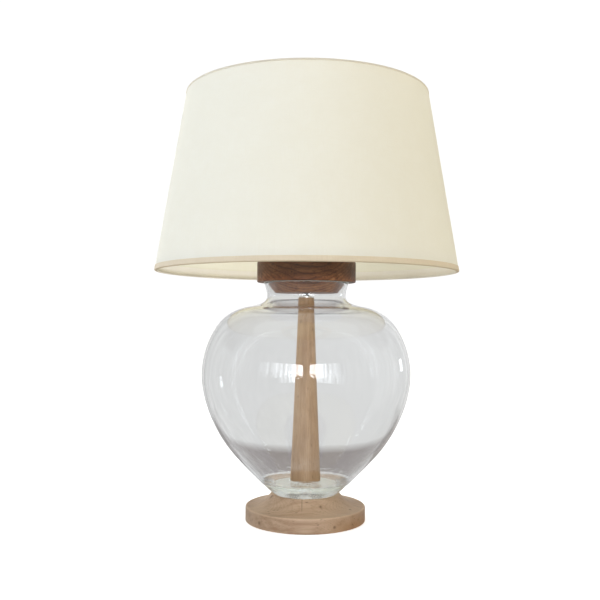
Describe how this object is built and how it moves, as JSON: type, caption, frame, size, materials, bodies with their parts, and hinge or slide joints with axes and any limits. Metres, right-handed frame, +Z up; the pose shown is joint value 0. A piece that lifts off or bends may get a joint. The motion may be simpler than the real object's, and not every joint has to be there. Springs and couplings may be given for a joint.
{
  "type": "table lamp with shade",
  "caption": "Table lamp: turned wood foot, clear glass vase body with a wood stem inside, wood neck cap, tapered round fabric shade.",
  "frame": {"origin": "on the ground under the lamp's vertical axis", "axes": "+Z up along the lamp's axis, -Y is the front, the cord's inlet is at the rear on +Y"},
  "size_m": [0.4999, 0.5, 0.7026],
  "materials": {
    "felt": "pressed wool felt",
    "beech": "turned, oiled, satin",
    "cap_wood": "turned, oiled, satin, darker than the foot",
    "vase_glass": "clear blown glass, polished",
    "silicone": "clear silicone",
    "steel": "zinc plated",
    "nickel": "satin nickel plate",
    "black_plastic": "moulded, satin",
    "steatite": "unglazed",
    "contact_brass": "bright",
    "bulb_metal": "rolled, bright",
    "bulb_glass": "clear",
    "black_glass": "black insulating glass",
    "filament": "yellow phosphor coat",
    "lead_wire": "drawn",
    "board": "printed board",
    "shade_cloth": "plain weave cotton, ivory",
    "shade_lining": "satin styrene sheet",
    "shade_tape": "cotton edge tape, cream",
    "white_wire": "white powder coat"
  },
  "bodies": {
    "base": {"base_felt": "felt", "base_disc": "beech", "cord_bush": "black_plastic", "base_washer": "steel", "base_nut": "steel", "foot_gasket": "silicone", "glass_vase": "vase_glass", "stem_gasket": "silicone", "stem": "beech", "stem_nut": "nickel", "threaded_tube": "steel", "neck_gasket": "silicone", "neck_cap": "cap_wood", "cap_washer": "nickel", "cap_nut": "nickel", "riser_sleeve": "nickel", "holder_cap": "black_plastic", "holder_grub_screw": "steel", "holder_insert": "steatite", "terminal_screws": "steel", "centre_contact": "contact_brass", "screw_shell": "contact_brass", "holder_body": "black_plastic", "lower_clamp_ring": "black_plastic", "upper_clamp_ring": "black_plastic"},
    "switch": {"switch_bar": "black_plastic"},
    "carrier": {"carrier_foot_ring": "nickel", "carrier_arms": "nickel", "carrier_top_ring": "nickel"},
    "shade": {"shade_fabric": "shade_cloth", "shade_liner": "shade_lining", "shade_seam": "shade_cloth", "bottom_trim": "shade_tape", "top_trim": "shade_tape", "shade_bottom_ring": "white_wire", "shade_top_ring": "white_wire", "shade_inner_ring": "white_wire", "shade_spokes": "white_wire"},
    "bulb": {"bulb_globe": "bulb_glass", "bulb_cap": "bulb_metal", "bulb_insulator": "black_glass", "bulb_contact": "contact_brass", "bulb_driver": "board", "bulb_stem": "bulb_glass", "bulb_filaments": "filament", "bulb_wires": "lead_wire"}
  },
  "joints": [
    {"name": "carrier_turn", "type": "hinge", "parent": "base", "child": "carrier", "pos_m": [0, 0, 0.48855], "axis": [0, 0, 1], "continuous": true},
    {"name": "shade_lift", "type": "slide", "parent": "carrier", "child": "shade", "axis": [0, 0, 1], "range_m": [0, 0.3]},
    {"name": "bulb_out", "type": "slide", "parent": "base", "child": "bulb", "axis": [0, 0, 1], "range_m": [0, 0.03]},
    {"name": "switch_push", "type": "slide", "parent": "base", "child": "switch", "axis": [-1, 0, 0], "range_m": [0, 0.006]}
  ]
}
